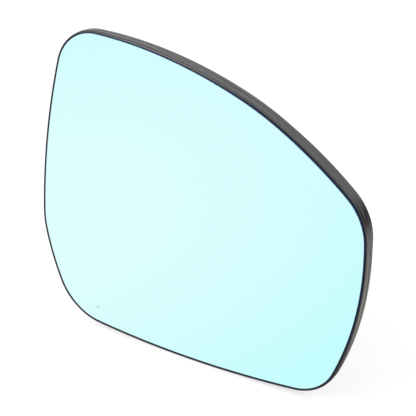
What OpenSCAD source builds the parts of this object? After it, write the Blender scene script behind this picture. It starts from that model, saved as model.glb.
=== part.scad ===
// Car door mirror glass: a convex, lightly tinted glass bonded into a thin moulded carrier.
// The glass faces -Y, Z is up, and the clip ring on the carrier's back opens towards +Y.
// The origin is the centre of the clip ring, on the flat seat inside it.

/* [Glass] */
// Width of the glass
glass_w = 183.6; // [165:0.1:205]
// Height of the glass
glass_h = 156.9; // [145:0.1:175]
// Thickness of the glass
glass_t = 1.8; // [1.2:0.1:3]
// Radius of the convex front face
dome_r = 1250; // [1150:10:2000]
// Highest point of the front face, across from the clip ring's centre
dome_x = 12; // [-15:1:20]
// Highest point of the front face, up from the clip ring's centre
dome_z = 10; // [-15:1:20]

/* [Outline corners] */
// The outline is drawn at its true size about the clip ring's centre, seen from the front, and then
// stretched to the width and the height. Each corner is a disc: x and z of its centre, and radius.
// Upper right corner
corner_upper_right = [67.6, 13.6, 28.5];
// Lower right corner
corner_lower_right = [58.5, -45.8, 25.5];
// Lower left corner
corner_lower_left = [-54.2, -45.1, 26.5];
// Bend in the left side
corner_left_bend = [-43, -20, 44.5];
// Upper left corner
corner_upper_left = [-51.5, 59, 24.2];
// Shoulder of the top edge
corner_shoulder = [-17.4, -62, 140];

/* [Outline edges] */
// Radius of the right side, below the upper right corner
edge_right = 153; // [110:1:400]
// Radius of the bottom edge
edge_bottom = 770; // [300:10:3000]
// Radius of the lower left side, up to the bend
edge_lower_left = 140; // [100:1:400]
// Radius of the left side, above the bend
edge_left = 446; // [250:2:2000]
// Radius of the top edge, up to the shoulder
edge_top = 225.5; // [210:0.5:600]
// Radius of the sloping edge, from the shoulder to the upper right corner
edge_slope = 203; // [185:1:500]

/* [Heater and adhesive] */
// Thickness of the heating foil
foil_t = 0.25; // [0.15:0.05:0.5]
// How far the foil stays inside the glass's edge
foil_inset = 4; // [2:0.5:10]
// Thickness of the adhesive sheet
adhesive_t = 0.45; // [0.3:0.05:1.5]
// How far the adhesive sheet stays inside the glass's edge
adhesive_inset = 2; // [1:0.5:6]

/* [Carrier] */
// Clearance between the glass's edge and the rim
rim_gap = 0.1; // [0.05:0.05:0.3]
// Width of the rim's front lip
lip_w = 1.1; // [0.8:0.1:2]
// How far the glass stands proud of the lip
glass_proud = 0.4; // [0.1:0.1:0.8]
// Height of the lip's bead, down to the step in the side
bead_h = 2.4; // [1.5:0.1:3]
// How far the side steps in below the bead
bead_step = 0.3; // [0.1:0.05:0.5]
// Thickness of the rim's wall at the rear
rim_wall = 1.6; // [1.2:0.1:2.5]
// Thickness of the floor behind the glass
floor_t = 1.5; // [1:0.1:2.5]
// Depth of the rim behind the floor's front face, in the corner where the floor lies deepest
rim_behind = 1.6; // [0.8:0.1:3]
// Bearing of the corner over which the rim's rear edge bends back, up from the right
bend_bearing = 40; // [30:1:50]
// Distance from the clip ring's centre to the line of that bend
bend_from = 79.5; // [74:0.5:86]
// Angle of that bend
bend_angle = 6; // [2:0.5:12]

/* [Clip ring] */
// Distance from the glass's left end to the clip ring's centre
ring_from_left = 87.5; // [75:0.5:100]
// Height of the clip ring's centre over the glass's lowest point
ring_from_bottom = 73.8; // [65:0.1:85]
// Height of the seat over the floor's back, at the dome's highest point
seat_h = 1; // [1:0.1:2]
// Radius of the flat seat
seat_r = 22.5; // [18:0.5:23]
// Inner radius of the ring's wall
ring_r = 25; // [24.6:0.1:30]
// Thickness of the fixed segments
segment_t = 2.2; // [1.5:0.1:3]
// Height of the fixed segments over the seat
segment_h = 6.5; // [5:0.5:8]
// Number of claws, and of the fixed segments between them
claws = 4; // [3:1:5]
// Angle that each claw covers
claw_angle = 32; // [28:1:36]
// Angle of the slot on each side of a claw
slot_angle = 4; // [3:0.5:6]
// Thickness of a claw
claw_t = 1.8; // [1.2:0.1:2.4]
// Height of a claw over the seat
claw_h = 10; // [9:0.5:12]
// How far a claw's hook reaches inwards
hook_reach = 1.2; // [0.6:0.1:1.5]
// Length of the hook's crest
hook_land = 1; // [0.6:0.1:1.5]
// Length of the slope that leads in to the hook's crest
hook_lead = 0.8; // [0.5:0.1:1.2]
// Clearance round the moulding window under a hook
hook_window_gap = 0.3; // [0.1:0.1:0.6]

/* [Ribs] */
// Number of radial ribs on the back
ribs = 8; // [4:1:12]
// Thickness of a rib
rib_t = 1.4; // [1:0.1:2]
// How far the ribs stay below the rim's rear edge
rib_drop = 0.6; // [0.2:0.1:1.5]

/* [Heater tabs] */
// Distance between the rivets of the two tabs
tab_spacing = 22; // [16:1:30]
// Distance of the rivets below the clip ring's centre
tab_below = 44; // [38:1:50]
// Width of a blade
blade_w = 6.3; // [4.8:0.1:6.3]
// Thickness of a blade
blade_t = 0.8; // [0.5:0.1:0.8]
// Length of a blade from the foil
blade_len = 12; // [9:0.5:15]
// Radius of the hole in a blade
blade_hole_r = 0.8; // [0.6:0.05:1]
// Length of a tab's foot, across the blade
foot_len = 6; // [5:0.5:8]
// Thickness of a tab's foot
foot_t = 0.8; // [0.6:0.1:1]
// Outer radius of the bend between a tab's foot and its blade
tab_bend_r = 0.8; // [0.3:0.1:0.8]
// Clearance that lets the flat foot lie in the hollow side of the foil
foot_seat = 0.02; // [0.01:0.01:0.1]
// Clearance round a tab's foot
window_gap = 1; // [0.5:0.1:1.5]
// Radius of a rivet's shank
rivet_r = 0.8; // [0.6:0.1:1]
// Radius of a rivet's head
rivet_head_r = 1.4; // [1.2:0.1:1.6]
// Height of a rivet's head
rivet_head_h = 0.5; // [0.3:0.1:0.8]

/* [Hidden] */
$fn = 96;
// Largest distance between the outline's arcs and their chords
chord_error = 0.03;
// Fineness of the dome's section, which has a very large radius
dome_fn = 1440;
// How far cutting shapes run past what they cut
over = 1;
// Room round the outline for the shapes that the dome bounds
reach = 160;

// Left and lower sides of the glass's box, seen from the front
left = -ring_from_left;
bottom = -ring_from_bottom;

// Radii of the concentric surfaces, from the front face to the floor's back
glass_back_r = dome_r - glass_t;
foil_back_r = glass_back_r - foil_t;
floor_front_r = foil_back_r - adhesive_t;
floor_back_r = floor_front_r - floor_t;
lip_r = dome_r - glass_proud;
bead_r = lip_r - bead_h;
// Half way through the floor, where the ribs and the clip ring root
floor_middle_r = floor_front_r - floor_t / 2;
ring_base = -seat_h - floor_t / 2;

// The dome's highest point and centre along Y
apex_y = -(dome_r - floor_back_r) - seat_h;
dome_y = apex_y + dome_r;
rim_outer = rim_gap + lip_w;

// Corner discs, clockwise from the upper right, each with the radius of the edge that bulges
// from it to the next
CORNERS = [
    concat(corner_upper_right, edge_right),
    concat(corner_lower_right, edge_bottom),
    concat(corner_lower_left, edge_lower_left),
    concat(corner_left_bend, edge_left),
    concat(corner_upper_left, edge_top),
    concat(corner_shoulder, edge_slope)
];

function at(corner) = [corner[0], corner[1]];

function bearing(from, to) = atan2(to[1] - from[1], to[0] - from[0]);

// Clockwise angle from one bearing to another
function sweep(from, to) = (from - to + 720) % 360;

// Centre of the edge arc that both corner discs touch from inside
function edge_centre(a, b) =
    let (
        span = norm(at(b) - at(a)),
        from_a = a[3] - a[2],
        from_b = a[3] - b[2],
        along = (from_a * from_a - from_b * from_b + span * span) / (2 * span),
        inwards = sqrt(from_a * from_a - along * along),
        u = (at(b) - at(a)) / span
    )
    at(a) + along * u + inwards * [u[1], -u[0]];

// Points of a clockwise arc, without its last one
function arc(centre, radius, start, turn) =
    let (steps = max(2, ceil(turn / (2 * acos(1 - chord_error / radius)))))
    [
        for (i = [0:steps - 1])
            let (angle = start - turn * i / steps)
            centre + radius * [cos(angle), sin(angle)]
    ];

// The outline as drawn, clockwise: each corner's arc, and then the edge that follows it
function drawn_outline() =
    let (
        n = len(CORNERS),
        centres = [for (i = [0:n - 1]) edge_centre(CORNERS[i], CORNERS[(i + 1) % n])],
        starts = [for (i = [0:n - 1]) bearing(centres[i], at(CORNERS[i]))],
        ends = [for (i = [0:n - 1]) bearing(centres[i], at(CORNERS[(i + 1) % n]))]
    )
    [
        for (i = [0:n - 1])
            let (
                corner = CORNERS[i],
                arrive = ends[(i + n - 1) % n],
                leave = starts[i]
            )
            each concat(
                arc(at(corner), corner[2], arrive, sweep(arrive, leave)),
                arc(centres[i], corner[3], leave, sweep(leave, ends[i]))
            )
    ];

DRAWN = drawn_outline();
drawn_low = [min([for (p = DRAWN) p[0]]), min([for (p = DRAWN) p[1]])];
drawn_high = [max([for (p = DRAWN) p[0]]), max([for (p = DRAWN) p[1]])];
stretch_x = glass_w / (drawn_high[0] - drawn_low[0]);
stretch_z = glass_h / (drawn_high[1] - drawn_low[1]);

// The glass's outline, seen from the front
OUTLINE = [
    for (p = DRAWN)
        [left + (p[0] - drawn_low[0]) * stretch_x, bottom + (p[1] - drawn_low[1]) * stretch_z]
];

// How far the glass reaches from the dome's axis, and the plane of the rim's rear edge
farthest = max([for (p = OUTLINE) norm(p - [dome_x, dome_z])]);
rim_back_y = dome_y - sqrt(pow(floor_front_r, 2) - pow(farthest, 2)) + rim_behind;
// How far the rim reaches past the bend's line, and how far back that takes it
past_bend = max([for (p = OUTLINE) p * [cos(bend_bearing), sin(bend_bearing)]]) + rim_outer - bend_from;
rim_end_y = rim_back_y + max(0, past_bend) * tan(bend_angle);

// The outline grown outwards by a distance, square to itself at each point
function grown(growth) =
    let (n = len(OUTLINE))
    [
        for (i = [0:n - 1])
            let (along = OUTLINE[(i + 1) % n] - OUTLINE[(i + n - 1) % n])
            OUTLINE[i] + growth * [-along[1], along[0]] / norm(along)
    ];

// The grown outline as a block between two places along Y
module block(growth, from_y, to_y) {
    translate([0, to_y, 0])
        rotate([90, 0, 0])
            linear_extrude(to_y - from_y)
                polygon(grown(growth));
}

// Everything behind the sphere of this radius about the dome's centre
module behind(radius) {
    depth = rim_end_y - apex_y + over * 4;
    translate([dome_x, dome_y, dome_z])
        rotate([90, 0, 0])
            rotate_extrude($fn = 180)
                intersection() {
                    circle(radius, $fn = dome_fn);
                    translate([0, radius - depth])
                        square([reach, depth + over]);
                }
}

// A sheet between two concentric surfaces, grown from the outline
module sheet(growth, front_r, back_r) {
    difference() {
        intersection() {
            block(growth, apex_y - over, rim_back_y + over);
            behind(front_r);
        }
        behind(back_r);
    }
}

// Turns a shape drawn about Z so that it stands along Y, towards the back
module stand() {
    rotate([-90, 0, 0])
        children();
}

// Part of a ring about Y, from a section drawn as radius and height
module ring_part(middle, angle) {
    stand()
        rotate([0, 0, middle - angle / 2])
            rotate_extrude(angle = angle)
                children();
}

module mirror_glass() {
    color([0.8, 0.98, 1])
        sheet(0, dome_r, glass_back_r);
}

module heater_foil() {
    color([0.72, 0.5, 0.3])
        difference() {
            sheet(-foil_inset, glass_back_r, foil_back_r);
            for (side = [-1, 1])
                on_foil(side)
                    rivet_shank(over);
        }
}

module adhesive_sheet() {
    color([0.3, 0.3, 0.32])
        difference() {
            sheet(-adhesive_inset, foil_back_r, floor_front_r);
            tab_windows();
        }
}

// Everything behind the rim's rear edge, which is flat and bends back over one corner
module behind_rim() {
    top = rim_back_y + (reach - bend_from) * tan(bend_angle);
    rotate([0, -bend_bearing, 0])
        linear_extrude(2 * reach, center = true)
            polygon([
                [-reach, rim_back_y],
                [bend_from, rim_back_y],
                [reach, top],
                [-reach, top]
            ]);
}

// Rim and floor, with the pocket for the glass in front and the hollow back
module tray() {
    side_out = rim_outer - bead_step;
    difference() {
        union() {
            sheet(rim_outer, lip_r, bead_r);
            intersection() {
                block(side_out, apex_y, rim_end_y);
                behind(lip_r);
            }
        }
        behind_rim();
        difference() {
            block(rim_gap, apex_y - over, rim_back_y);
            behind(floor_front_r);
        }
        intersection() {
            block(side_out - rim_wall, apex_y, rim_end_y + over);
            behind(floor_back_r);
        }
    }
}

module radial_ribs() {
    intersection() {
        for (i = [0:ribs - 1])
            rotate([0, (i + 0.5) * 360 / ribs, 0])
                translate([ring_r + segment_t / 2, apex_y, -rib_t / 2])
                    cube([reach, rim_back_y - rib_drop - apex_y, rib_t]);
        block(rim_outer - bead_step - rim_wall / 2, apex_y, rim_back_y);
        behind(floor_middle_r);
    }
}

module seat() {
    stand()
        translate([0, 0, ring_base])
            cylinder(h = -ring_base, r = seat_r);
}

// Section of a fixed segment, with its inner edge bevelled to lead in
module segment_section() {
    bevel = segment_t / 3;
    polygon([
        [ring_r, ring_base],
        [ring_r + segment_t, ring_base],
        [ring_r + segment_t, segment_h],
        [ring_r + bevel, segment_h],
        [ring_r, segment_h - bevel]
    ]);
}

// Section of a claw, with the hook at its tip
module claw_section() {
    crest_r = ring_r - hook_reach;
    crest_top = claw_h - hook_lead;
    crest_bottom = crest_top - hook_land;
    polygon([
        [ring_r, ring_base],
        [ring_r + claw_t, ring_base],
        [ring_r + claw_t, claw_h],
        [crest_r + hook_lead, claw_h],
        [crest_r, crest_top],
        [crest_r, crest_bottom],
        [ring_r, crest_bottom - hook_reach]
    ]);
}

module clip_ring() {
    pitch = 360 / claws;
    for (i = [0:claws - 1]) {
        ring_part((i + 0.5) * pitch, claw_angle)
            claw_section();
        ring_part(i * pitch, pitch - claw_angle - 2 * slot_angle)
            segment_section();
    }
}

// Openings in the floor that let the mould form the underside of each hook
module hook_windows() {
    inner_r = ring_r - hook_reach - hook_window_gap;
    for (i = [0:claws - 1])
        ring_part((i + 0.5) * 360 / claws, claw_angle)
            translate([inner_r, apex_y])
                square([ring_r - inner_r, -apex_y + over]);
}

module carrier() {
    color([0.08, 0.08, 0.09])
        difference() {
            union() {
                tray();
                radial_ribs();
                seat();
                clip_ring();
            }
            hook_windows();
            tab_windows();
        }
}

// Places a shape drawn about Z on the foil's back, over the foot of a tab and square to the dome
module on_foil(side) {
    x = side * tab_spacing / 2;
    z = -tab_below;
    normal = [dome_x - x, sqrt(pow(foil_back_r, 2) - pow(dome_x - x, 2) - pow(dome_z - z, 2)), dome_z - z];
    translate([x, dome_y - normal[1], z])
        rotate([asin(normal[2] / foil_back_r), 0, -atan2(normal[0], normal[1])])
            stand()
                children();
}

// Openings in the floor and in the adhesive sheet round the feet of the tabs
module tab_windows() {
    for (side = [-1, 1])
        on_foil(side)
            translate([-blade_w / 2 - window_gap, -foot_len / 2 - window_gap, -over])
                cube([blade_w + 2 * window_gap, foot_len + 2 * window_gap, rim_back_y - apex_y + over]);
}

// The blade from the foot's underside to its narrowed tip
module blade_outline() {
    tip = blade_w / 5;
    difference() {
        polygon([
            [-blade_w / 2, foot_seat],
            [blade_w / 2, foot_seat],
            [blade_w / 2, blade_len - tip],
            [blade_w / 2 - tip, blade_len],
            [-blade_w / 2 + tip, blade_len],
            [-blade_w / 2, blade_len - tip]
        ]);
        translate([0, blade_len - blade_w / 2])
            circle(blade_hole_r, $fn = 48);
    }
}

// The corner that the bend takes off the outside of an L, along its whole width
module bend_corner() {
    translate([-blade_w / 2 - over, -foot_len / 2, foot_seat])
        rotate([90, 0, 90])
            linear_extrude(blade_w + 2 * over)
                difference() {
                    translate([-over, -over])
                        square(tab_bend_r + over);
                    translate([tab_bend_r, tab_bend_r])
                        circle(tab_bend_r, $fn = 48);
                }
}

// An L of sheet metal: the blade stands up from a foot that lies on the foil
module heater_tab(side) {
    color([0.78, 0.78, 0.76])
        on_foil(side)
            difference() {
                union() {
                    translate([0, blade_t - foot_len / 2, 0])
                        rotate([90, 0, 0])
                            linear_extrude(blade_t)
                                blade_outline();
                    translate([-blade_w / 2, -foot_len / 2, foot_seat])
                        cube([blade_w, foot_len, foot_t]);
                }
                rivet_shank(over);
                bend_corner();
            }
}

// Shank from the foil's front to the foot's back, and a little past both where it cuts a hole
module rivet_shank(past) {
    translate([0, 0, -foil_t - past])
        cylinder(h = foil_t + foot_seat + foot_t + 2 * past, r = rivet_r, $fn = 48);
}

module tab_rivets() {
    color([0.7, 0.62, 0.4])
        for (side = [-1, 1])
            on_foil(side) {
                rivet_shank(0);
                translate([0, 0, foot_seat + foot_t])
                    cylinder(h = rivet_head_h, r = rivet_head_r, $fn = 48);
            }
}

mirror_glass();
heater_foil();
adhesive_sheet();
carrier();
heater_tab(-1);  // heater_tab_left
heater_tab(1);  // heater_tab_right
tab_rivets();
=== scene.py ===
"""Car door mirror glass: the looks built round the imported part, in metres and in the part's frame.

The glass faces -Y, Z is up, and the clip ring on the carrier's back opens towards +Y.
"""

import math

import bpy
import numpy as np
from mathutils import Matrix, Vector


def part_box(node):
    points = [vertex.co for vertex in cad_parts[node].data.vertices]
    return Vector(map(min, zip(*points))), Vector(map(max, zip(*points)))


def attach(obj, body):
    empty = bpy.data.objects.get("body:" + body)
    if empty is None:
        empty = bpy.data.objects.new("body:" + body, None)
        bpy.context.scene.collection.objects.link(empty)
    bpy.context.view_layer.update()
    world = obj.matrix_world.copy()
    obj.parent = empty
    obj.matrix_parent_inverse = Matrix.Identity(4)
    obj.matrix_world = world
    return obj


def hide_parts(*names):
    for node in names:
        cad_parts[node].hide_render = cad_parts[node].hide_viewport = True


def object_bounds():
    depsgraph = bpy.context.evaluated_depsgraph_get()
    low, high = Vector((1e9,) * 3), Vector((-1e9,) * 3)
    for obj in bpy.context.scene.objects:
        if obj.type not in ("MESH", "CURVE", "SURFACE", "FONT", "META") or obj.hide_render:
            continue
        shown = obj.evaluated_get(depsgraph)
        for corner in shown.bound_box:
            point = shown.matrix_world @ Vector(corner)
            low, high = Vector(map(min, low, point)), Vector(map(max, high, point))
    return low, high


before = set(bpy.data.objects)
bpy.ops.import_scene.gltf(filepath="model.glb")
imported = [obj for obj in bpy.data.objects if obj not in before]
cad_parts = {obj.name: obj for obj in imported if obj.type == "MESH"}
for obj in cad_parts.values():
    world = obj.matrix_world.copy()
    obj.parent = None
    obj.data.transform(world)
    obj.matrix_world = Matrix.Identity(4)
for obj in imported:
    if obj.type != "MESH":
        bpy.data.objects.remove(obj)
cad_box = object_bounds()

MM = 0.001

# The outline as part.scad draws it, clockwise from the upper right: x, z and radius of each
# corner's disc, and the radius of the edge that bulges from it to the next, in mm
CORNERS = [
    (67.6, 13.6, 28.5, 153),
    (58.5, -45.8, 25.5, 770),
    (-54.2, -45.1, 26.5, 140),
    (-43, -20, 44.5, 446),
    (-51.5, 59, 24.2, 225.5),
    (-17.4, -62, 140, 203),
]

# The glass and the concentric surfaces behind it
GLASS_LOW, GLASS_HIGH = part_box("mirror_glass")
APEX_Y = -5 * MM
DOME_X, DOME_Z = 12 * MM, 10 * MM
DOME_R = 1250 * MM
DOME_Y = APEX_Y + DOME_R
GLASS_BACK_R = DOME_R - 1.8 * MM
FLOOR_FRONT_R = DOME_R - 2.5 * MM
FLOOR_BACK_R = DOME_R - 4 * MM
LIP_R = DOME_R - 0.4 * MM
ARRIS = 0.15 * MM
ARRIS_ROWS = 5

# The rim's section, as growth of the outline
RIM_GAP = 0.1 * MM
RIM_OUT = 1.2 * MM
SIDE_OUT = 0.9 * MM
SIDE_IN = -0.7 * MM

# The bead's height, the dish of the seam beside the glass, and how deep the lip's faces go
BEAD_H = 2.4 * MM
SEAM_DEPTH = 0.25 * MM
LIP_DEPTH = 0.3 * MM

# The rim's rear edge. Past a line square to the bearing it bends back over the far corner
RIM_BACK_Y = 4.195 * MM
BEND_BEARING = math.radians(40)
BEND_FROM = 79.5 * MM
BEND_ANGLE = math.radians(6)

# The roundings of the step, of the rear edge outside and inside, and of the inner wall's foot
STEP_ROUND = 0.15 * MM
REAR_ROUND = 0.25 * MM
INNER_ROUND = 0.15 * MM
FOOT_ROUND = 0.6 * MM

# The parting ridge: where it runs between the step and the rear edge, and its section
RIDGE_SHARE = 0.45
RIDGE_HALF = 0.12 * MM
RIDGE_OUT = 0.08 * MM

# The seat and the clip ring, whose solids start inside the floor. Angles are in degrees
SEAT_R = 22.5 * MM
SEAT_ROOT_ROUND = 0.5 * MM
SEAT_EDGE_ROUND = 0.25 * MM
WINDOW_R = 23.5 * MM
RING_R = 25 * MM
RING_BASE_Y = -1.75 * MM
RING_SOFT = 0.2 * MM
SEGMENTS = (0, 90, 180, 270)
SEGMENT_HALF = 25
SEGMENT_T = 2.2 * MM
SEGMENT_H = 6.5 * MM
SEGMENT_BEVEL = SEGMENT_T / 3
CLAWS = (45, 135, 225, 315)
CLAW_HALF = 16
CLAW_T = 1.8 * MM
CLAW_H = 10 * MM
HOOK_REACH = 1.2 * MM
HOOK_LEAD = 0.8 * MM
HOOK_LAND = 1 * MM

# The openings round the heater tabs, and half the depth of the box that cuts them
TAB_X = 11 * MM
TAB_Z = -44 * MM
TAB_WIDTH = 6.3 * MM
TAB_FOOT = 6 * MM
TAB_CLEAR = 1 * MM
TAB_CUT = 4 * MM

# The ribs. Their feet end inside the floor. A rib is measured to a line this far inside the
# rim's wall, and runs past it into the wall
RIBS = 8
RIB_T = 1.4 * MM
RIB_TOP_Y = RIM_BACK_Y - 0.6 * MM
RIB_SOFT = 0.25 * MM
RIB_FOOT = 0.5 * MM
RIB_LEAST_FOOT = 0.02 * MM
RIB_BURIED = 0.6 * MM
RIB_LINE = 0.8 * MM
RIB_PAST_LINE = 1.2 * MM

# Points round the outline and round each circle, and the circles that fill the shell's middle
COLUMNS = 720
INNER_R, OUTER_R = 8 * MM, 16 * MM

# The one mark on the glass, near its lower left: its middle, and the distances from there at
# which it starts to fade and ends
MARK_X, MARK_Z = -55.16 * MM, -63.24 * MM
MARK_FULL, MARK_END = 0.3 * MM, 1.3 * MM

# The bearings at which the lip's crown, the lip's rounder edge and the bare band are fullest
CROWN_BEARING = math.radians(100)
BOTTOM_BEARING = math.radians(270)
BARE_BEARING = math.radians(232)

# Edges sharper than this aren't smoothed over
SHARP = math.radians(38)


# The outline and the surfaces

def heading(bearing):
    """The unit vector of a bearing, as x and z."""
    return np.array([math.cos(bearing), math.sin(bearing)])


def drawn_outline(samples=4000):
    """Points and outward normals of the outline, clockwise: each corner's arc, and then the edge
    that follows it. An edge's centre lies where both of its corner discs touch it from inside."""
    discs = np.array(CORNERS, float) * MM
    here, there = discs, np.roll(discs, -1, 0)
    step = there[:, :2] - here[:, :2]
    span = np.hypot(*step.T)
    unit = step / span[:, None]
    from_here, from_there = here[:, 3] - here[:, 2], here[:, 3] - there[:, 2]
    along = (from_here**2 - from_there**2 + span**2) / (2 * span)
    inwards = np.sqrt(from_here**2 - along**2)
    square = np.stack([unit[:, 1], -unit[:, 0]], 1)
    centres = here[:, :2] + along[:, None] * unit + inwards[:, None] * square
    starts = np.arctan2(*(here[:, :2] - centres).T[::-1])
    ends = np.arctan2(*(there[:, :2] - centres).T[::-1])
    points, normals = [], []
    for i in range(len(discs)):
        arcs = [
            (here[i, :2], here[i, 2], ends[i - 1], starts[i]),
            (centres[i], here[i, 3], starts[i], ends[i]),
        ]
        for centre, radius, start, end in arcs:
            turn = (start - end) % (2 * math.pi)
            angles = start - turn * np.arange(samples) / samples
            normal = np.stack([np.cos(angles), np.sin(angles)], 1)
            points.append(centre + radius * normal)
            normals.append(normal)
    return np.concatenate(points), np.concatenate(normals)


def outline_by_bearing(count):
    """The glass's outline at equal bearings about the clip ring: the drawn outline stretched to
    the glass's box, and read off where each ray from the ring's centre meets it."""
    points, normals = drawn_outline()
    low, high = points.min(0), points.max(0)
    glass_low = np.array([GLASS_LOW.x, GLASS_LOW.z])
    glass_high = np.array([GLASS_HIGH.x, GLASS_HIGH.z])
    points = glass_low + (points - low) * (glass_high - glass_low) / (high - low)
    bearing = np.arctan2(points[:, 1], points[:, 0])
    order = np.argsort(bearing)
    wanted = (np.arange(count) * 2 * math.pi / count + math.pi) % (2 * math.pi) - math.pi
    read = [
        np.interp(wanted, bearing[order], values[order], period=2 * math.pi)
        for values in (*points.T, *normals.T)
    ]
    normal = np.stack(read[2:], 1)
    return np.stack(read[:2], 1), normal / np.hypot(*normal.T)[:, None]


def dome_y(flat, radius):
    """Y of the sphere of that radius about the dome's centre, over points given as x and z."""
    return DOME_Y - np.sqrt(radius**2 - (flat[..., 0] - DOME_X) ** 2 - (flat[..., 1] - DOME_Z) ** 2)


def rear_y(flat):
    """Y of the rim's rear edge: a plane, and past the bend's line one that leans back."""
    past = flat @ heading(BEND_BEARING) - BEND_FROM
    return RIM_BACK_Y + np.maximum(past, 0) * math.tan(BEND_ANGLE)


def faded(value, start, full):
    """A share that is 0 up to the start, 1 from the full value on, and even in between."""
    return np.clip((value - start) / (full - start), 0, 1)


MIDDLE = np.zeros(2)
EDGE, NORMAL = outline_by_bearing(COLUMNS)
BEARING = np.arange(COLUMNS) * 2 * math.pi / COLUMNS
RAY = np.stack([np.cos(BEARING), np.sin(BEARING)], 1)

# How far the dark seam goes over the lip, as growth of the outline. Along the top the lip is
# crowned, and only a thin dark line stays. Along the bottom its outer edge is rounder. Both fade
# in with the cosine of the angle between the outline's normal and the bearing
SEAM_SIDE, SEAM_TOP, SEAM_BOTTOM = 1.08 * MM, 0.3 * MM, 0.78 * MM
TOP_SHARE = faded(NORMAL @ heading(CROWN_BEARING), start=0.75, full=0.98)
BOTTOM_SHARE = faded(NORMAL @ heading(BOTTOM_BEARING), start=0.6, full=0.9)
SEAM_OUT = SEAM_SIDE + (SEAM_TOP - SEAM_SIDE) * TOP_SHARE + (SEAM_BOTTOM - SEAM_SIDE) * BOTTOM_SHARE

# The coating stops short of the glass's edge, mostly at the lower left, and the bare band is dark.
# Where it is wider than BARE_WIDE, the ground arris beside it is dark too
BARE_LEAST, BARE_MORE, BARE_WIDE = 0.03 * MM, 0.77 * MM, 0.3 * MM
BARE = BARE_LEAST + BARE_MORE * np.clip(NORMAL @ heading(BARE_BEARING), 0, 1) ** 2


# Rows of points and meshes

def grown(growth):
    """The outline moved outwards along its normals, by one distance or one for each column."""
    return EDGE + np.broadcast_to(growth, COLUMNS)[:, None] * NORMAL


def circle(radius):
    """A circle about the clip ring's centre, with a point on each ray."""
    return radius * RAY


def row(flat, y):
    """A row of points from x and z and a height along Y."""
    return np.stack([flat[:, 0], np.broadcast_to(y, len(flat)), flat[:, 1]], 1)


def between(inner, outer, shares):
    """Flat rows that go from one closed line to another."""
    return [inner + (outer - inner) * share for share in shares]


def quarter(steps):
    """Sine and one minus cosine over a quarter turn, for a rounded edge."""
    turn = np.linspace(0, math.pi / 2, steps)
    return list(zip(np.sin(turn), 1 - np.cos(turn)))


def grid_faces(rows, columns, keep=None):
    """Quads of a grid whose columns close on themselves, less the cells that keep leaves out. Their
    normal is the step from row to row crossed with the step from column to column."""
    r, c = np.meshgrid(np.arange(rows - 1), np.arange(columns), indexing="ij")
    here, below = r * columns, (r + 1) * columns
    after = (c + 1) % columns
    quads = np.stack([here + c, below + c, below + after, here + after], -1)
    return quads.reshape(-1, 4) if keep is None else quads[keep]


def closed_rows(rows, first_pole, last_pole):
    """Points and faces of rows that close over a pole at each end. A pole is one point."""
    count = len(rows[0])
    points = np.concatenate([np.concatenate(rows), [first_pole, last_pole]])
    faces = grid_faces(len(rows), count).tolist()
    first, last = len(rows) * count, len(rows) * count + 1
    end = (len(rows) - 1) * count
    faces += [[first, c, (c + 1) % count] for c in range(count)]
    faces += [[last, end + (c + 1) % count, end + c] for c in range(count)]
    return points, faces


def swept_solid(sections):
    """A closed solid from closed sections side by side, capped at both ends."""
    count, size = len(sections), len(sections[0])
    points = np.concatenate(sections)
    faces = grid_faces(count, size).tolist()
    faces.append(list(range(size)))
    faces.append(list(range((count - 1) * size, count * size))[::-1])
    return points, faces


def rounded(corners, rounds, steps=4):
    """A closed outline with each corner rounded by its own radius: an arc that touches both sides,
    whose centre lies on the corner's bisector."""
    corners = np.array(corners, float)
    line = []
    for i, corner in enumerate(corners):
        back = corners[i - 1] - corner
        ahead = corners[(i + 1) % len(corners)] - corner
        back, ahead = back / np.hypot(*back), ahead / np.hypot(*ahead)
        half = math.acos(np.clip(back @ ahead, -1, 1)) / 2
        if rounds[i] <= 0:
            line.append(corner)
            continue
        bisector = (back + ahead) / np.hypot(*(back + ahead))
        centre = corner + bisector * rounds[i] / math.sin(half)
        first = corner + back * rounds[i] / math.tan(half) - centre
        last = corner + ahead * rounds[i] / math.tan(half) - centre
        start = math.atan2(first[1], first[0])
        turn = (math.atan2(last[1], last[0]) - start + math.pi) % (2 * math.pi) - math.pi
        angles = start + turn * np.linspace(0, 1, steps + 1)
        line += list(centre + rounds[i] * np.stack([np.cos(angles), np.sin(angles)], 1))
    return np.array(line)


def inside(flat, growth):
    """Whether a place lies inside the grown outline, on the ray through it."""
    bearing = np.arctan2(flat[:, 1], flat[:, 0]) % (2 * math.pi)
    line = grown(growth)
    line_bearing = np.arctan2(line[:, 1], line[:, 0]) % (2 * math.pi)
    order = np.argsort(line_bearing)
    far = np.interp(bearing, line_bearing[order], np.hypot(*line.T)[order], period=2 * math.pi)
    return np.hypot(*flat.T) < far


def joined(parts):
    """Points and faces of several solids in one mesh."""
    points, faces, start = [], [], 0
    for part_points, part_faces in parts:
        points.append(part_points)
        faces += [[index + start for index in face] for face in part_faces]
        start += len(part_points)
    return np.concatenate(points), faces


def new_mesh(name, points, faces):
    """A mesh from points and faces."""
    mesh = bpy.data.meshes.new(name)
    mesh.from_pydata(points.reshape(-1, 3).tolist(), [], [list(map(int, f)) for f in faces])
    mesh.validate()
    return mesh


def read_points(items, name):
    """A property of three numbers of a mesh's items, as rows."""
    values = np.zeros(len(items) * 3)
    items.foreach_get(name, values)
    return values.reshape(-1, 3)


def new_object(name, data):
    """An object in the scene, for a mesh, a lamp or a camera."""
    made = bpy.data.objects.new(name, data)
    bpy.context.scene.collection.objects.link(made)
    return made


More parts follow.
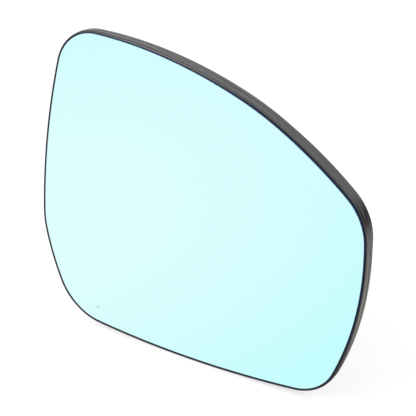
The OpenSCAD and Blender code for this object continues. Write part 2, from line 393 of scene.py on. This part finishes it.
def cut_away(solid, cutters):
    """Points and faces of a solid with others cut away from it."""
    made = [new_object("scratch", new_mesh("scratch", *each)) for each in (solid, *cutters)]
    whole = made[0]
    for cutter in made[1:]:
        cut = whole.modifiers.new("cut", "BOOLEAN")
        cut.operation, cut.solver, cut.object = "DIFFERENCE", "EXACT", cutter
    bpy.context.view_layer.update()
    result = whole.evaluated_get(bpy.context.evaluated_depsgraph_get())
    mesh = bpy.data.meshes.new_from_object(result)
    for scratch in made:
        bpy.data.objects.remove(scratch)
    return read_points(mesh.vertices, "co"), [list(polygon.vertices) for polygon in mesh.polygons]


def add_piece(name, mesh, materials, places, replaced):
    """Puts a mesh into the scene as a piece on the root body, in place of the CAD nodes named.
    Places holds each face's number in the list of materials."""
    mesh.shade_smooth()
    mesh.set_sharp_from_angle(angle=SHARP)
    piece = new_object(name, mesh)
    for material in materials:
        mesh.materials.append(material)
    mesh.polygons.foreach_set("material_index", places.astype(np.int32))
    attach(piece, "root")
    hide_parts(*replaced)


# Node helpers

# Nearly all of a noise's values lie between these
NOISE = (0.3, 0.7)

# Sockets of the Mix node for colours. Its other kinds have sockets of the same names
MIX_SHARE, MIX_FIRST, MIX_SECOND, MIX_RESULT = 0, 6, 7, 2

WHITE = (1.0, 1.0, 1.0)


def node(tree, kind, **values):
    """A new node with some of its settings."""
    made = tree.nodes.new(kind)
    for key, value in values.items():
        setattr(made, key, value)
    return made


def new_material(name):
    """A material with its node tree and its shader."""
    material = bpy.data.materials.new(name)
    material.use_nodes = True
    tree = material.node_tree
    return material, tree, tree.nodes["Principled BSDF"]


def object_place(tree):
    """Object coordinates."""
    return node(tree, "ShaderNodeTexCoord").outputs["Object"]


def object_noise(tree, scale, detail=4.0, stretch=(1, 1, 1)):
    """Noise over Object coordinates."""
    mapping = node(tree, "ShaderNodeMapping")
    mapping.inputs["Scale"].default_value = stretch
    noise = node(tree, "ShaderNodeTexNoise")
    noise.inputs["Scale"].default_value = scale
    noise.inputs["Detail"].default_value = detail
    tree.links.new(object_place(tree), mapping.inputs["Vector"])
    tree.links.new(mapping.outputs["Vector"], noise.inputs["Vector"])
    return noise.outputs["Fac"]


def object_cells(tree, scale):
    """Distance to the nearest of scattered points, over Object coordinates."""
    cells = node(tree, "ShaderNodeTexVoronoi", feature="F1")
    cells.inputs["Scale"].default_value = scale
    tree.links.new(object_place(tree), cells.inputs["Vector"])
    return cells.outputs["Distance"]


def spread(tree, value, low, high, source=NOISE):
    """A value mapped from its source range to another."""
    mapped = node(tree, "ShaderNodeMapRange")
    mapped.inputs["From Min"].default_value = source[0]
    mapped.inputs["From Max"].default_value = source[1]
    mapped.inputs["To Min"].default_value = low
    mapped.inputs["To Max"].default_value = high
    tree.links.new(value, mapped.inputs["Value"])
    return mapped.outputs["Result"]


def ramp(tree, value, stops):
    """A colour ramp with stops given as place and colour."""
    made = node(tree, "ShaderNodeValToRGB")
    elements = made.color_ramp.elements
    elements[0].position, elements[0].color = stops[0][0], (*stops[0][1], 1)
    elements[1].position, elements[1].color = stops[-1][0], (*stops[-1][1], 1)
    for place, colour in stops[1:-1]:
        elements.new(place).color = (*colour, 1)
    tree.links.new(value, made.inputs["Fac"])
    return made.outputs["Color"]


def mixed(tree, share, first, second):
    """A colour that goes from a first one to a second by a share. The second one is constant."""
    mix = node(tree, "ShaderNodeMix", data_type="RGBA")
    tree.links.new(share, mix.inputs[MIX_SHARE])
    tree.links.new(first, mix.inputs[MIX_FIRST])
    mix.inputs[MIX_SECOND].default_value = (*second, 1)
    return mix.outputs[MIX_RESULT]


def toned(tree, shader, value, dark, light, source=NOISE):
    """Gives a shader a colour that goes from dark to light with a value."""
    tones = ramp(tree, value, [(source[0], dark), (source[1], light)])
    tree.links.new(tones, shader.inputs["Base Color"])


def roughened(tree, shader, value, low, high, source=NOISE):
    """Gives a shader a roughness that goes from low to high with a value."""
    tree.links.new(spread(tree, value, low, high, source), shader.inputs["Roughness"])


def bumped(tree, shader, height, distance, strength):
    """Gives a shader a bump from a height between 0 and 1."""
    bump = node(tree, "ShaderNodeBump")
    bump.inputs["Strength"].default_value = strength
    bump.inputs["Distance"].default_value = distance
    tree.links.new(height, bump.inputs["Height"])
    tree.links.new(bump.outputs["Normal"], shader.inputs["Normal"])


# Materials

# The scale of the mould's spark-eroded grain
GRAIN = 2600

# The coating's pale blue, with painted shade over it that deepens away from a light patch: the
# patch's middle, its turn about Y, and the distances along it and across it at which the tint is
# deepest
PATCH_AT = (-81 * MM, 0, -20 * MM)
PATCH_TURN = math.radians(-28)
PATCH_REACH = (242 * MM, 1, 113 * MM)
# The tint at the light patch, and the tint where the painted shade is deepest
TINT_LIGHT, TINT_IN_PAINTED_SHADE = (0.732, 0.985, 0.99), (0.562, 0.98, 0.99)
SPECK_TONE = (0.45, 0.8, 0.82)


def black_plastic(name, specular):
    """Black moulded plastic whose colour and gloss vary a little. Its bump is left to the caller."""
    material, tree, shader = new_material(name)
    broad = object_noise(tree, scale=90)
    toned(tree, shader, broad, dark=(0.009, 0.009, 0.010), light=(0.014, 0.014, 0.015))
    roughened(tree, shader, broad, 0.17, 0.25)
    shader.inputs["IOR"].default_value = 1.55
    shader.inputs["Specular IOR Level"].default_value = specular
    return material, tree, shader


def moulded_black():
    """The carrier's faces, with a fine spark-eroded grain."""
    material, tree, shader = black_plastic("moulded_black", specular=0.68)
    bumped(tree, shader, object_noise(tree, GRAIN, detail=2), distance=0.02 * MM, strength=0.4)
    return material


def streaked_black(name, specular):
    """Black plastic with fine streaks that run round the rim."""
    material, tree, shader = black_plastic(name, specular)
    streaks = object_noise(tree, scale=40, detail=3, stretch=(1, 24, 1))
    bumped(tree, shader, streaks, distance=0.5 * MM, strength=0.7)
    return material


def side_black():
    """The rim's side, behind the bead."""
    return streaked_black("side_black", specular=0.85)


def bead_black():
    """The rim's bead, which shines less than the side."""
    return streaked_black("bead_black", specular=0.66)


def seam_black():
    """The lip's smooth inner face beside the glass: near black, with a painted reflection of the
    glass's blue in it.
    """
    material, tree, shader = new_material("seam_black")
    broad = object_noise(tree, scale=150)
    # The faint blue in these tones is a painted reflection of the glass beside the lip
    toned(tree, shader, broad, dark=(0.006, 0.007, 0.016), light=(0.009, 0.011, 0.024))
    roughened(tree, shader, broad, 0.25, 0.4)
    shader.inputs["Specular IOR Level"].default_value = 0.3
    bumped(tree, shader, object_noise(tree, GRAIN, detail=2), distance=0.01 * MM, strength=0.3)
    return material


def tint_with_painted_shade(tree):
    """The coating's pale blue with painted shade in it. It is lightest in a long patch at the left,
    and the painted shade deepens it with the square of the distance from it, measured shorter along
    the patch than across."""
    patch = node(tree, "ShaderNodeMapping", vector_type="TEXTURE")
    patch.inputs["Location"].default_value = PATCH_AT
    patch.inputs["Rotation"].default_value = (0, PATCH_TURN, 0)
    patch.inputs["Scale"].default_value = PATCH_REACH
    square = node(tree, "ShaderNodeVectorMath", operation="DOT_PRODUCT")
    tree.links.new(object_place(tree), patch.inputs["Vector"])
    tree.links.new(patch.outputs["Vector"], square.inputs[0])
    tree.links.new(patch.outputs["Vector"], square.inputs[1])
    return ramp(tree, square.outputs["Value"], [(0.0, TINT_LIGHT), (1.0, TINT_IN_PAINTED_SHADE)])


def coating_specks(tree):
    """How much of a speck there is: 1 in the one mark and in fine dust, and 0 past their edges."""
    mark = node(tree, "ShaderNodeVectorMath", operation="DISTANCE")
    mark.inputs[1].default_value = (MARK_X, dome_y(np.array([MARK_X, MARK_Z]), DOME_R), MARK_Z)
    tree.links.new(object_place(tree), mark.inputs[0])
    marked = spread(tree, mark.outputs["Value"], 1, 0, source=(MARK_FULL, MARK_END))
    dusty = spread(tree, object_cells(tree, scale=45), 1, 0, source=(0.010, 0.018))
    either = node(tree, "ShaderNodeMath", operation="MAXIMUM")
    tree.links.new(marked, either.inputs[0])
    tree.links.new(dusty, either.inputs[1])
    return either.outputs[0]


def tinted_mirror():
    """Mirror glass with a pale blue coating deepened by painted shade away from the left, a greyer
    mark and a few specks of dust.
    """
    material, tree, shader = new_material("tinted_mirror")
    shader.inputs["Metallic"].default_value = 1.0
    colour = mixed(tree, coating_specks(tree), tint_with_painted_shade(tree), SPECK_TONE)
    tree.links.new(colour, shader.inputs["Base Color"])
    roughened(tree, shader, object_noise(tree, scale=30), 0.012, 0.03)
    return material


def ground_glass(name, dark, light, specular):
    """Ground glass with a fine grain."""
    material, tree, shader = new_material(name)
    grain = object_noise(tree, scale=900, detail=3)
    toned(tree, shader, grain, dark, light)
    roughened(tree, shader, grain, 0.22, 0.38)
    shader.inputs["Specular IOR Level"].default_value = specular
    bumped(tree, shader, grain, distance=0.02 * MM, strength=0.4)
    return material


def glass_edge():
    """The glass's ground edge, with the coating's blue in it."""
    dark, light = (0.040, 0.080, 0.190), (0.060, 0.110, 0.260)
    return ground_glass("glass_edge", dark, light, specular=0.5)


def bare_band():
    """The band beside the glass's edge that the coating leaves bare, dark from what lies behind."""
    dark, light = (0.005, 0.008, 0.018), (0.009, 0.014, 0.030)
    return ground_glass("bare_band", dark, light, specular=0.15)


def backing_paint():
    """Grey protective paint over the coating, on the glass's back."""
    material, tree, shader = new_material("backing_paint")
    grain = object_noise(tree, scale=400)
    toned(tree, shader, grain, dark=(0.16, 0.17, 0.18), light=(0.22, 0.23, 0.24))
    roughened(tree, shader, grain, 0.45, 0.6)
    return material


def printed_film():
    """The heating foil: a brown film with printed tracks side by side."""
    material, tree, shader = new_material("printed_film")
    wave = node(tree, "ShaderNodeTexWave", wave_type="BANDS", bands_direction="Z")
    wave.inputs["Scale"].default_value = 60
    tree.links.new(object_place(tree), wave.inputs["Vector"])
    film, track = (0.24, 0.11, 0.05), (0.42, 0.24, 0.12)
    toned(tree, shader, wave.outputs["Fac"], film, track, source=(0.45, 0.55))
    roughened(tree, shader, object_noise(tree, scale=300), 0.3, 0.45)
    return material


def adhesive_foam():
    """Dark double-sided foam tape with fine cells."""
    material, tree, shader = new_material("adhesive_foam")
    cells = object_cells(tree, scale=3000)
    pore, skin = (0.02, 0.02, 0.022), (0.045, 0.045, 0.048)
    toned(tree, shader, cells, pore, skin, source=(0.1, 0.7))
    roughened(tree, shader, cells, 0.8, 0.95, source=(0, 1))
    bumped(tree, shader, cells, distance=0.05 * MM, strength=0.6)
    return material


def rolled_metal(name, dark, light):
    """Sheet or wire metal with a rolled grain and a dull bloom."""
    material, tree, shader = new_material(name)
    shader.inputs["Metallic"].default_value = 1.0
    grain = object_noise(tree, scale=1200, stretch=(1, 1, 0.1))
    toned(tree, shader, object_noise(tree, scale=500), dark, light)
    roughened(tree, shader, grain, 0.25, 0.45)
    bumped(tree, shader, grain, distance=0.01 * MM, strength=0.4)
    return material


# The glass

def glass_rows():
    """Rows over the glass, from the front dome's middle to the edge, round a small ground arris,
    down the side, round the rear arris and back over the rear dome. Also the numbers of the rows
    where the bare band and the painted back start."""
    middle = np.zeros((COLUMNS, 2))
    front = between(middle, grown(-ARRIS - BARE), np.linspace(0.05, 1, 40))
    rows = [row(flat, dome_y(flat, DOME_R)) for flat in front]
    band = len(rows) - 1
    for out, drop in quarter(ARRIS_ROWS):
        flat = grown(ARRIS * (out - 1))
        rows.append(row(flat, dome_y(flat, DOME_R) + ARRIS * drop))
    for drop, back in quarter(4):
        flat = grown(-ARRIS * back / 2)
        rows.append(row(flat, dome_y(flat, GLASS_BACK_R) - ARRIS * (1 - drop) / 2))
    paint = len(rows) - 1
    rear = between(middle, grown(-ARRIS / 2), np.linspace(1, 0.1, 12)[1:])
    rows += [row(flat, dome_y(flat, GLASS_BACK_R)) for flat in rear]
    return rows, band, paint


def glass_places(rows, band, paint):
    """The number of each face's material. The front is coated, the band is bare, with the arris
    beside it where it is wide, the edge is ground and the back is painted."""
    coated, ground, painted, bare = range(4)
    cell_row = np.arange(len(rows) - 1)[:, None]
    bare_end = np.where(BARE > BARE_WIDE, band + ARRIS_ROWS - 1, band)
    quads = np.select(
        [cell_row < band, cell_row <= bare_end, cell_row < paint],
        [coated, bare, ground],
        painted,
    )
    return np.concatenate([quads.ravel(), np.repeat([coated, painted], COLUMNS)])


def mirror_glass():
    """The glass as one closed form, from the front dome's middle to the rear dome's."""
    rows, band, paint = glass_rows()
    front_pole = [0, dome_y(MIDDLE, DOME_R), 0]
    rear_pole = [0, dome_y(MIDDLE, GLASS_BACK_R), 0]
    mesh = new_mesh("mirror_glass_plate", *closed_rows(rows, front_pole, rear_pole))
    places = glass_places(rows, band, paint)
    materials = [tinted_mirror(), glass_edge(), backing_paint(), bare_band()]
    add_piece("mirror_glass_plate", mesh, materials, places, ["mirror_glass"])


# The carrier

# The row of the windows' inner circle on the floor's front
FRONT_WINDOW = 2


def floor_front_rows():
    """Rows over the floor's front, from its middle to the foot of the pocket's wall."""
    front = [circle(radius) for radius in (INNER_R, OUTER_R, WINDOW_R, RING_R)]
    front += between(circle(RING_R), grown(RIM_GAP), np.linspace(0, 1, 9)[1:])
    return [row(flat, dome_y(flat, FLOOR_FRONT_R)) for flat in front]


def lip_rows():
    """Rows over the lip, from the pocket's wall round the bead's front edge. The seam lies deeper
    by the square of the share of its width that is still to come."""
    rows = []
    for share in np.linspace(0, 1, 7):
        flat = grown(RIM_GAP + (SEAM_OUT - RIM_GAP) * share)
        rows.append(row(flat, dome_y(flat, LIP_R) + SEAM_DEPTH * (1 - share) ** 2))
    bead_round = RIM_OUT - SEAM_OUT
    for out, drop in quarter(12):
        flat = grown(RIM_OUT + bead_round * (out - 1))
        rows.append(row(flat, dome_y(flat, LIP_R) + bead_round * drop))
    return rows


def side_rows():
    """Rows round the bead's rear edge and the step's foot, and over the side's parting ridge, which
    falls evenly from its crest to both sides."""
    rows = []
    for out, drop in quarter(4):
        flat = grown(RIM_OUT - STEP_ROUND * drop)
        rows.append(row(flat, dome_y(flat, LIP_R) + BEAD_H - STEP_ROUND * (1 - out)))
    for out, drop in quarter(4):
        flat = grown(SIDE_OUT + STEP_ROUND * (1 - out))
        rows.append(row(flat, dome_y(flat, LIP_R) + BEAD_H + STEP_ROUND * drop))
    side = grown(SIDE_OUT)
    step_y = dome_y(side, LIP_R) + BEAD_H
    ridge_y = step_y + RIDGE_SHARE * (rear_y(side) - step_y)
    for across in (-1.5, -1, 0, 1, 1.5):
        flat = grown(SIDE_OUT + RIDGE_OUT * max(0, 1 - abs(across)))
        rows.append(row(flat, ridge_y + RIDGE_HALF * across))
    return rows


def rear_rows():
    """Rows round the rim's rear edge, down its inner wall and round the wall's foot. Where the wall
    is lower than a rounding, that rounding is cut down to it."""
    rows = []
    for out, drop in quarter(11):
        flat = grown(SIDE_OUT - REAR_ROUND * drop)
        rows.append(row(flat, rear_y(flat) - REAR_ROUND * (1 - out)))
    for out, drop in quarter(5):
        flat = grown(SIDE_IN + INNER_ROUND * (1 - out))
        y = rear_y(flat) - INNER_ROUND * drop
        rows.append(row(flat, np.maximum(y, dome_y(flat, FLOOR_BACK_R))))
    for out, drop in quarter(6):
        flat = grown(SIDE_IN - FOOT_ROUND * drop)
        floor = dome_y(flat, FLOOR_BACK_R)
        rise = np.clip(rear_y(flat) - INNER_ROUND - floor, 0, FOOT_ROUND)
        rows.append(row(flat, floor + rise * (1 - out)))
    return rows


def floor_back_rows():
    """Rows over the floor's back, from the inner wall's foot in to the windows' two circles."""
    foot = grown(SIDE_IN - FOOT_ROUND)
    back = between(foot, circle(RING_R), np.linspace(0, 1, 25)[1:]) + [circle(WINDOW_R)]
    return [row(flat, dome_y(flat, FLOOR_BACK_R)) for flat in back]


def seat_rows():
    """Rows up the seat's filleted root, round its edge and in over its flat face."""
    rows = []
    for out, drop in reversed(quarter(5)):
        flat = circle(SEAT_R + SEAT_ROOT_ROUND * drop)
        rows.append(row(flat, dome_y(flat, FLOOR_BACK_R) + SEAT_ROOT_ROUND * (1 - out)))
    for out, drop in quarter(5):
        flat = circle(SEAT_R - SEAT_EDGE_ROUND * drop)
        rows.append(row(flat, -SEAT_EDGE_ROUND * (1 - out)))
    return rows + [row(circle(radius), 0.0) for radius in (OUTER_R, INNER_R)]


def window_walls(cells, back_window):
    """The four walls of a window over those columns, from the floor's front to its back."""
    inner_front, outer_front = FRONT_WINDOW * COLUMNS, (FRONT_WINDOW + 1) * COLUMNS
    outer_back, inner_back = back_window * COLUMNS, (back_window + 1) * COLUMNS
    first, last = cells[0], (cells[-1] + 1) % COLUMNS
    walls = []
    for here in cells:
        after = (here + 1) % COLUMNS
        walls.append([outer_front + here, outer_front + after, outer_back + after, outer_back + here])
        walls.append([inner_back + here, inner_back + after, inner_front + after, inner_front + here])
    walls.append([inner_front + first, outer_front + first, outer_back + first, inner_back + first])
    walls.append([inner_back + last, outer_back + last, outer_front + last, inner_front + last])
    return walls


def carrier_shell():
    """The carrier without its ribs and clip ring: rows that go out over the floor's front, over the
    rim and in over the floor's back and the seat. The windows under the hooks are left open between
    their two circles and walled from front to back."""
    rows = floor_front_rows() + lip_rows() + side_rows() + rear_rows() + floor_back_rows()
    # The last two rows so far are the windows' circles on the floor's back
    back_window = len(rows) - 2
    rows += seat_rows()
    points, faces = closed_rows(rows, [0, dome_y(MIDDLE, FLOOR_FRONT_R), 0], [0, 0, 0])
    degree = np.arange(COLUMNS) * 360 / COLUMNS
    keep = np.ones((len(rows) - 1, COLUMNS), bool)
    walls = []
    for middle in CLAWS:
        cells = np.flatnonzero((degree >= middle - CLAW_HALF) & (degree < middle + CLAW_HALF))
        keep[FRONT_WINDOW, cells] = False
        keep[back_window, cells] = False
        walls += window_walls(cells, back_window)
    quads = grid_faces(len(rows), COLUMNS, keep).tolist()
    fans = faces[(len(rows) - 1) * COLUMNS:]
    return points, quads + fans + walls


def tab_window(side):
    """A box that opens the floor round the foot of the heater tab on that side. It is square to the
    axes, with its middle on the floor's front."""
    x, z = side * TAB_X, TAB_Z
    y = float(dome_y(np.array([x, z]), FLOOR_FRONT_R))
    half_x, half_z = TAB_WIDTH / 2 + TAB_CLEAR, TAB_FOOT / 2 + TAB_CLEAR
    corners = np.array([
        [x + sx * half_x, y + sy * TAB_CUT, z + sz * half_z]
        for sy in (-1, 1) for sz in (-1, 1) for sx in (-1, 1)
    ])
    front_and_back = [(0, 1, 3, 2), (4, 6, 7, 5)]
    around = [(0, 4, 5, 1), (2, 3, 7, 6), (0, 2, 6, 4), (1, 5, 7, 3)]
    return corners, front_and_back + around


def ring_part(section, middle, half):
    """A section given as radius and height, turned about Y over an angle."""
    radius, height = section[::-1].T
    sections = []
    for angle in np.radians(np.linspace(middle - half, middle + half, 2 * half + 1)):
        sections.append(np.stack([radius * math.cos(angle), height, radius * math.sin(angle)], 1))
    return swept_solid(sections)


def segment_section():
    """A fixed segment's section, with its inner edge bevelled and its edges softened."""
    corners = [
        (RING_R, RING_BASE_Y),
        (RING_R + SEGMENT_T, RING_BASE_Y),
        (RING_R + SEGMENT_T, SEGMENT_H),
        (RING_R + SEGMENT_BEVEL, SEGMENT_H),
        (RING_R, SEGMENT_H - SEGMENT_BEVEL),
    ]
    return rounded(corners, [0, 0, RING_SOFT * 2, RING_SOFT, RING_SOFT])


def claw_section():
    """A claw's section, with the hook at its tip and softened edges."""
    crest_r, crest_top = RING_R - HOOK_REACH, CLAW_H - HOOK_LEAD
    corners = [
        (RING_R, RING_BASE_Y),
        (RING_R + CLAW_T, RING_BASE_Y),
        (RING_R + CLAW_T, CLAW_H),
        (crest_r + HOOK_LEAD, CLAW_H),
        (crest_r, crest_top),
        (crest_r, crest_top - HOOK_LAND),
        (RING_R, crest_top - HOOK_LAND - HOOK_REACH),
    ]
    return rounded(corners, [0, 0, RING_SOFT * 2, RING_SOFT, RING_SOFT, RING_SOFT, RING_SOFT])


def rib_section(floor):
    """A rib's section over a floor at that height, as places across it and heights: its upper edges
    are rounded and its feet filleted."""
    half = RIB_T / 2
    top = max(RIB_TOP_Y, floor - RIB_BURIED + RIB_FOOT + RIB_SOFT)
    fillet = min(RIB_FOOT, max(top - floor - RIB_SOFT, RIB_LEAST_FOOT))
    side = [(half + RIB_FOOT, floor - RIB_BURIED)]
    for out, drop in quarter(4):
        side.append((half + fillet * (1 - out), floor + fillet * drop))
    for out, drop in reversed(quarter(4)):
        side.append((half - RIB_SOFT * drop, top - RIB_SOFT * (1 - out)))
    return np.array(side + [(-across, height) for across, height in reversed(side)])


def rib(bearing):
    """A radial rib: its section carried outwards over the floor's back, from the clip ring into the
    rim's wall."""
    angle = math.radians(bearing)
    ray = heading(angle)
    side = np.array([-math.sin(angle), math.cos(angle)])
    column = round(bearing / 360 * COLUMNS) % COLUMNS
    reach = np.hypot(*grown(SIDE_IN - RIB_LINE)[column]) + RIB_PAST_LINE
    sections = []
    for far in np.linspace(RING_R + SEGMENT_T / 2, reach, 40):
        across, height = rib_section(float(dome_y(far * ray, FLOOR_BACK_R))).T
        flat = far * ray + across[:, None] * side
        sections.append(row(flat, height))
    return swept_solid(sections)


def carrier_places(mesh):
    """The number of each face's material: the moulded faces, the seam on the lip, the side and the
    bead. The side starts a little inside its own line, where the middles of its faces lie, and the
    bead past the rounding of the step's foot."""
    centre = read_points(mesh.polygons, "center")
    flat = centre[:, [0, 2]]
    moulded, seam, side, bead = range(4)
    side_start, bead_start = SIDE_OUT - 0.02 * MM, SIDE_OUT + 0.16 * MM
    on_lip = centre[:, 1] - dome_y(flat, LIP_R) < LIP_DEPTH
    on_seam = on_lip & inside(flat, SEAM_OUT)
    on_bead = ~on_lip & ~inside(flat, bead_start)
    on_side = ~on_lip & ~inside(flat, side_start)
    return np.select([on_seam, on_bead, on_side], [seam, bead, side], moulded)


def carrier():
    """The carrier: its shell with the tabs' openings cut, its clip ring and its ribs."""
    parts = [cut_away(carrier_shell(), [tab_window(-1), tab_window(1)])]
    parts += [ring_part(segment_section(), middle, SEGMENT_HALF) for middle in SEGMENTS]
    parts += [ring_part(claw_section(), middle, CLAW_HALF) for middle in CLAWS]
    parts += [rib((i + 0.5) * 360 / RIBS) for i in range(RIBS)]
    mesh = new_mesh("carrier_moulding", *joined(parts))
    materials = [moulded_black(), seam_black(), side_black(), bead_black()]
    add_piece("carrier_moulding", mesh, materials, carrier_places(mesh), ["carrier"])


def finish_cad_nodes():
    """Materials for the nodes that are shown as the frame has them."""
    tinned = rolled_metal("tinned_brass", dark=(0.62, 0.60, 0.54), light=(0.78, 0.77, 0.72))
    brass = rolled_metal("rivet_brass", dark=(0.58, 0.46, 0.24), light=(0.72, 0.60, 0.34))
    finishes = {
        "heater_foil": printed_film(),
        "adhesive_sheet": adhesive_foam(),
        "heater_tab_left": tinned,
        "heater_tab_right": tinned,
        "tab_rivets": brass,
    }
    for name, finish in finishes.items():
        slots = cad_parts[name].data.materials
        slots.clear()
        slots.append(finish)


# The stage

# The floor's shade, the strength of the glow that lifts it to white, and half its width
FLOOR_SHADE = (0.45, 0.45, 0.45)
FLOOR_LIFT = 0.62
FLOOR_HALF = 1.0

# What gloss and glass see of the floor, by its distance behind the seat's face in metres: white in
# front, then the part's shadow painted deep, half painted shade, a painted warm light, and painted
# shade again far behind
PAINTED_WARM_LIGHT, PAINTED_SHADE_HALF, PAINTED_SHADE_DEEP = (1.0, 0.94, 0.87), (0.70, 0.66, 0.61), (0.30, 0.28, 0.26)
FLOOR_PAINTED_SHADE_BANDS = [
    (0.005, WHITE),
    (0.01, PAINTED_SHADE_DEEP),
    (0.028, PAINTED_SHADE_DEEP),
    (0.047, PAINTED_SHADE_HALF),
    (0.064, PAINTED_WARM_LIGHT),
    (0.2, PAINTED_WARM_LIGHT),
    (0.7, PAINTED_SHADE_DEEP),
]

# The room's one dark side, low down behind the glass and to its right
DARK_SIDE = Vector((0.66, 0.74, 0.12)).normalized()
DARK = (0.06, 0.06, 0.07)


def pale_surface(tree, shader, camera_ray):
    """Sets up the floor that the camera sees: a pale surface that takes a faint shadow, lifted to
    white by a glow."""
    shader.inputs["Base Color"].default_value = (*FLOOR_SHADE, 1)
    shader.inputs["Roughness"].default_value = 0.9
    shader.inputs["Specular IOR Level"].default_value = 0
    shader.inputs["Emission Color"].default_value = (*WHITE, 1)
    lift = node(tree, "ShaderNodeMath", operation="MULTIPLY")
    lift.inputs[1].default_value = FLOOR_LIFT
    tree.links.new(camera_ray, lift.inputs[0])
    tree.links.new(lift.outputs[0], shader.inputs["Emission Strength"])


def glow_with_painted_shade(tree):
    """The floor that gloss and glass see: a glow in bands across Y, with the part's shadow and a warm
    light painted into it.
    """
    split = node(tree, "ShaderNodeSeparateXYZ")
    tree.links.new(object_place(tree), split.inputs["Vector"])
    glow = node(tree, "ShaderNodeEmission")
    # The ramp paints the part's shadow and a warm light into the glow
    tree.links.new(ramp(tree, split.outputs["Y"], FLOOR_PAINTED_SHADE_BANDS), glow.inputs["Color"])
    return glow.outputs["Emission"]


def floor_material():
    """White floor: a pale surface, and a glow in its place for rays that come off gloss or through
    glass, with the part's shadow painted into that glow."""
    material, tree, shader = new_material("white_floor")
    path = node(tree, "ShaderNodeLightPath")
    pale_surface(tree, shader, path.outputs["Is Camera Ray"])
    reflected = node(tree, "ShaderNodeMath", operation="MAXIMUM")
    tree.links.new(path.outputs["Is Glossy Ray"], reflected.inputs[0])
    tree.links.new(path.outputs["Is Transmission Ray"], reflected.inputs[1])
    choice = node(tree, "ShaderNodeMixShader")
    tree.links.new(reflected.outputs[0], choice.inputs[0])
    tree.links.new(shader.outputs["BSDF"], choice.inputs[1])
    tree.links.new(glow_with_painted_shade(tree), choice.inputs[2])
    tree.links.new(choice.outputs["Shader"], tree.nodes["Material Output"].inputs["Surface"])
    return material


def white_floor():
    """The floor, at the height of the part's lowest point."""
    corners = [(x * FLOOR_HALF, y * FLOOR_HALF, cad_box[0].z) for y in (-1, 1) for x in (-1, 1)]
    floor = new_object("floor", new_mesh("floor", np.array(corners), [(0, 1, 3, 2)]))
    floor.data.materials.append(floor_material())


def white_world():
    """White to the camera. For light and gloss it is white all round but for one dark side, which
    fades in with the cosine of the angle to its middle."""
    world = bpy.data.worlds.new("studio")
    bpy.context.scene.world = world
    world.use_nodes = True
    tree = world.node_tree
    place = node(tree, "ShaderNodeTexCoord")
    cosine = node(tree, "ShaderNodeVectorMath", operation="DOT_PRODUCT")
    cosine.inputs[1].default_value = DARK_SIDE
    tree.links.new(place.outputs["Generated"], cosine.inputs[0])
    stops = [(0.0, WHITE), (0.91, WHITE), (0.97, DARK), (1.0, DARK)]
    shade = ramp(tree, cosine.outputs["Value"], stops)
    path = node(tree, "ShaderNodeLightPath")
    colour = mixed(tree, path.outputs["Is Camera Ray"], shade, WHITE)
    tree.links.new(colour, tree.nodes["Background"].inputs["Color"])


def softbox(name, place, width, height, power):
    """An area lamp that faces the part's origin."""
    data = bpy.data.lights.new(name, "AREA")
    data.shape = "RECTANGLE"
    data.energy, data.size, data.size_y = power, width, height
    lamp = new_object(name, data)
    lamp.location = place
    lamp.rotation_euler = (-Vector(place)).to_track_quat("-Z", "Y").to_euler()


def main_camera():
    """The photo's view, fitted to the outline of the glass and of the rim."""
    data = bpy.data.cameras.new("camera")
    data.sensor_width = 36
    data.lens = 154.82
    data.clip_start, data.clip_end = 0.05, 20
    camera = new_object("camera", data)
    camera.location = (0.43644, -0.62692, 0.36780)
    target = Vector((0.01447, -0.0050, 0.01202))
    camera.rotation_euler = (target - camera.location).to_track_quat("-Z", "Y").to_euler()
    bpy.context.scene.camera = camera


mirror_glass()
carrier()
finish_cad_nodes()
white_floor()
white_world()
softbox("upper_left_softbox", place=(-0.66, -1.05, 0.9), width=0.7, height=1.2, power=8)
main_camera()
bpy.context.scene.view_settings.view_transform = "Standard"
